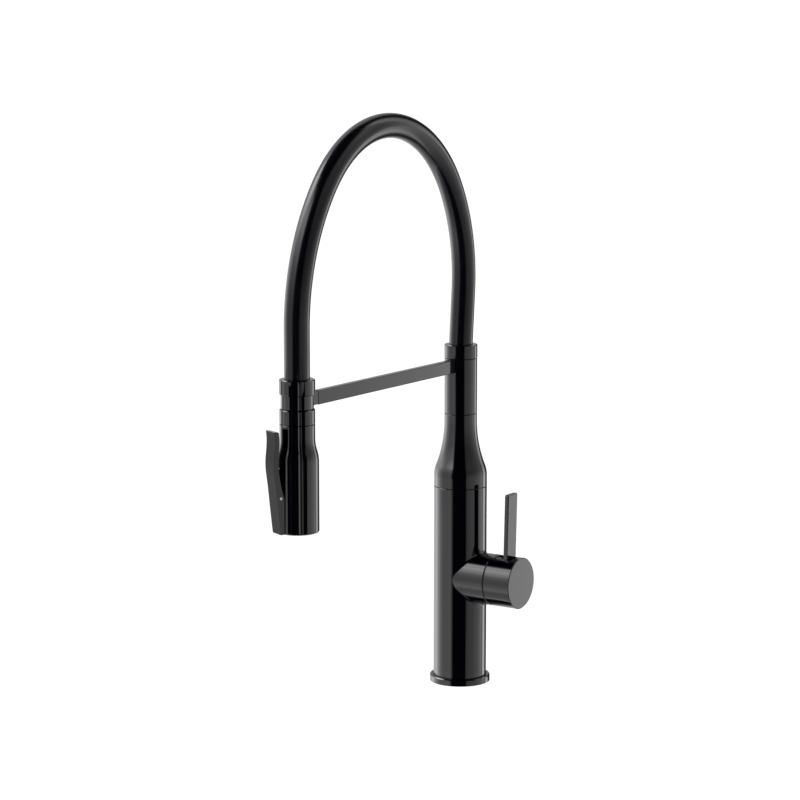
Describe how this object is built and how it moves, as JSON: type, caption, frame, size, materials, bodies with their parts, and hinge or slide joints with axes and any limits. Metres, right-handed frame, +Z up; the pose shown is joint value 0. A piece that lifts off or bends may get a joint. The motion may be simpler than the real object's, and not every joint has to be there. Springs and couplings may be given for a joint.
{
  "type": "pre rinse faucet",
  "caption": "Polished black deck faucet with a self-supporting hose arch, horizontal docking arm, side blade lever and a trigger spray head.",
  "frame": {"origin": "centre of the base on the deck plane", "axes": "+Z up along the column, -Y along the docking arm towards the spray head, +X along the side handle's axis away from the column"},
  "size_m": [0.0955, 0.3217, 0.5414],
  "materials": {
    "black_metal": "polished black",
    "hose_rubber": "satin",
    "inner_hose_plastic": "satin",
    "seal_rubber": "matte",
    "brass": "machined",
    "copper_tube": "drawn",
    "steel": "machined",
    "cartridge_plastic": "moulded",
    "ceramic_disc": "lapped",
    "dark_plastic": "satin",
    "nozzle_rubber": "satin"
  },
  "bodies": {
    "base": {"base_flange": "black_metal", "base_gasket": "seal_rubber", "body_shell": "black_metal", "valve_boss": "black_metal", "base_plug": "brass", "inlet_tubes": "copper_tube", "shoulder_coupler": "brass", "bottle_neck": "black_metal", "swivel_core": "brass", "riser_tube": "copper_tube", "retaining_ring": "steel", "valve_body": "brass", "cartridge_body": "cartridge_plastic", "fixed_disc": "ceramic_disc", "cartridge_seals": "seal_rubber", "cartridge_nut": "brass", "cap_guide": "cartridge_plastic"},
    "handle": {"handle_cap": "black_metal"},
    "lever": {"blade": "black_metal", "stem": "steel", "grub_screw": "steel"},
    "disc": {"moving_disc": "ceramic_disc"},
    "spout": {"neck_sleeve": "black_metal", "swivel_bushes": "cartridge_plastic", "arm_stud": "steel", "arm_shim": "dark_plastic", "arm": "black_metal", "arm_tip": "dark_plastic", "dock_magnet": "steel"},
    "hose": {"top_collar": "black_metal", "neck_nipple": "brass", "hose_sheath": "hose_rubber", "inner_hose": "inner_hose_plastic", "swivel_seals": "seal_rubber", "end_collar": "black_metal", "head_nipple": "brass", "dock_ring": "black_metal", "nipple_clip": "steel"},
    "head": {"head_ring": "black_metal", "head_shell": "black_metal", "head_core": "cartridge_plastic", "core_seals": "seal_rubber", "spray_former": "cartridge_plastic", "nozzle_face": "dark_plastic", "spray_nozzles": "nozzle_rubber", "aerator": "dark_plastic", "plunger_seal": "seal_rubber", "trigger_pin": "steel"},
    "trigger": {"trigger": "black_metal"},
    "plunger": {"plunger": "steel"}
  },
  "joints": [
    {"name": "spout_swivel", "type": "hinge", "parent": "base", "child": "spout", "pos_m": [0, 0, 0.283], "axis": [0, 0, 1], "range_deg": [-150, 150]},
    {"name": "hose_swing", "type": "hinge", "parent": "spout", "child": "hose", "pos_m": [0, 0, 0.316], "axis": [0, 0, 1], "range_deg": [-60, 60]},
    {"name": "head_turn", "type": "hinge", "parent": "hose", "child": "head", "pos_m": [0, -0.265, 0.29], "axis": [0, 0, 1], "continuous": true},
    {"name": "trigger_press", "type": "hinge", "parent": "head", "child": "trigger", "pos_m": [-0.00862, -0.28349, 0.222], "axis": [-0.9063, 0.4226, 0], "range_deg": [0, 6], "stiffness_Nm_per_rad": 1.2, "springref_deg": -4.58},
    {"name": "plunger_push", "type": "slide", "parent": "head", "child": "plunger", "axis": [0.4226, 0.9063, 0], "range_m": [0, 0.0027]},
    {"name": "temperature", "type": "hinge", "parent": "base", "child": "handle", "pos_m": [0.05, 0, 0.1015], "axis": [1, 0, 0], "range_deg": [-45, 45]},
    {"name": "flow", "type": "hinge", "parent": "handle", "child": "lever", "pos_m": [0.03, 0, 0.1015], "axis": [0, -1, 0], "range_deg": [0, 15]},
    {"name": "disc_shift", "type": "slide", "parent": "handle", "child": "disc", "axis": [0, 0, -1], "range_m": [0, 0.0037]}
  ],
  "couplings": [
    {"joint": "plunger_push", "follows": "trigger_press", "m_per_rad": 0.025},
    {"joint": "disc_shift", "follows": "flow", "m_per_rad": 0.0138}
  ]
}
